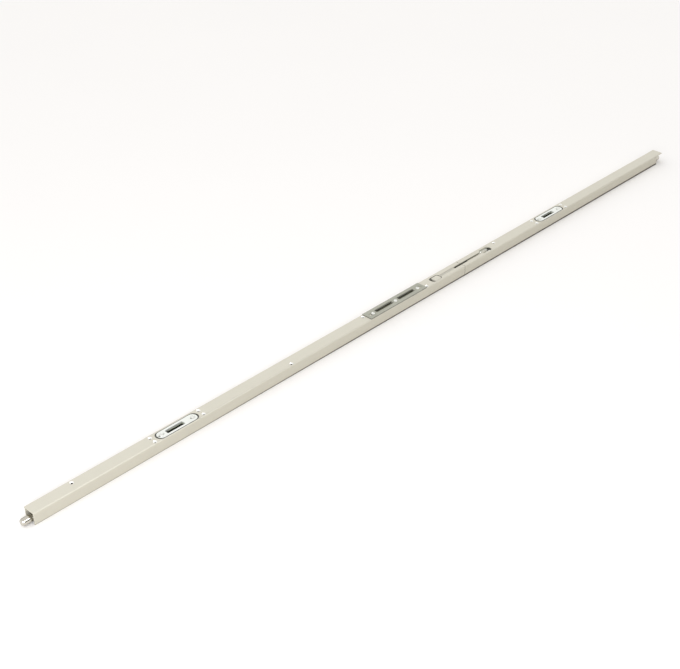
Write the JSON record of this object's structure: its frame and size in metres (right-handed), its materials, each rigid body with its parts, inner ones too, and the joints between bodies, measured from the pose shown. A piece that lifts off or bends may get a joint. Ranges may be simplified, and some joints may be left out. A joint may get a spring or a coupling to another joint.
{
  "type": "multipoint door lock",
  "caption": "Long edge-mounted lock for an inactive door leaf: slotted strikes for hooks, latch and deadbolt, and a flush lever that draws in a round bolt at each end.",
  "frame": {"origin": "centre of the bounding box in plan, at the level of the two bottom edges that stand on the door's edge", "axes": "X runs along the lock from its lower end to its upper end, Y runs across the face from the side with the rounded edge to the side with the lip, Z points out of the door's edge towards the face"},
  "size_m": [2.011, 0.028, 0.0278],
  "materials": {
    "champagne_coating": "satin",
    "zinc_plated_steel": "satin",
    "galvanised_steel": "matte",
    "satin_nickel": "satin",
    "zinc_casting": "matte",
    "black_nylon": "matte",
    "spring_steel": "satin"
  },
  "bodies": {
    "case": {"lower_profile": "champagne_coating", "upper_profile": "champagne_coating", "lower_hook_plate": "satin_nickel", "upper_hook_plate": "satin_nickel", "centre_strike_plate": "galvanised_steel", "lower_hook_screws": "zinc_plated_steel", "upper_hook_screws": "zinc_plated_steel", "centre_strike_screws": "zinc_plated_steel", "lower_hook_carrier": "galvanised_steel", "upper_hook_carrier": "galvanised_steel", "centre_strike_carrier": "galvanised_steel", "lower_hook_pocket": "black_nylon", "upper_hook_pocket": "black_nylon", "latch_pocket": "black_nylon", "deadbolt_pocket": "black_nylon", "lower_bolt_guide": "black_nylon", "upper_bolt_guide": "black_nylon", "lower_bar_guides": "black_nylon", "upper_bar_guides": "black_nylon", "pinion_stud": "zinc_plated_steel", "gear_case": "galvanised_steel", "near_bearing_block": "zinc_casting", "far_bearing_block": "zinc_casting", "bearing_block_rivets": "zinc_plated_steel", "lever_pivot_pin": "zinc_plated_steel", "detent_spring": "spring_steel", "detent_spring_rivet": "zinc_plated_steel"},
    "lever": {"lever_blade": "zinc_plated_steel", "finger_pad": "champagne_coating", "finger_pad_rivets": "zinc_plated_steel"},
    "upper_bolt_train": {"upper_rack": "zinc_plated_steel", "upper_rack_rivets": "zinc_plated_steel", "upper_drive_bar": "galvanised_steel", "upper_bolt_pin": "zinc_plated_steel", "upper_shoot_bolt": "zinc_plated_steel"},
    "lower_bolt_train": {"lower_rack": "zinc_plated_steel", "lower_rack_rivets": "zinc_plated_steel", "lower_drive_bar": "galvanised_steel", "lower_bolt_pin": "zinc_plated_steel", "lower_shoot_bolt": "zinc_plated_steel"},
    "pinion": {"reversing_pinion": "zinc_plated_steel"}
  },
  "joints": [
    {"name": "lever_swing", "type": "hinge", "parent": "case", "child": "lever", "pos_m": [0.2625, -0.001, 0.0156], "axis": [0, 1, 0], "range_deg": [0, 115]},
    {"name": "upper_bolt_slide", "type": "slide", "parent": "case", "child": "upper_bolt_train", "axis": [-1, 0, 0], "range_m": [0, 0.0201]},
    {"name": "lower_bolt_slide", "type": "slide", "parent": "case", "child": "lower_bolt_train", "axis": [1, 0, 0], "range_m": [0, 0.0201]},
    {"name": "pinion_turn", "type": "hinge", "parent": "case", "child": "pinion", "pos_m": [0.2125, -0.001, 0.0038], "axis": [0, 0, -1], "range_deg": [0, 209.2]}
  ],
  "couplings": [
    {"joint": "upper_bolt_slide", "follows": "lever_swing", "m_per_rad": 0.01},
    {"joint": "lower_bolt_slide", "follows": "lever_swing", "m_per_rad": 0.01},
    {"joint": "pinion_turn", "follows": "lever_swing", "ratio": 1.8182}
  ]
}
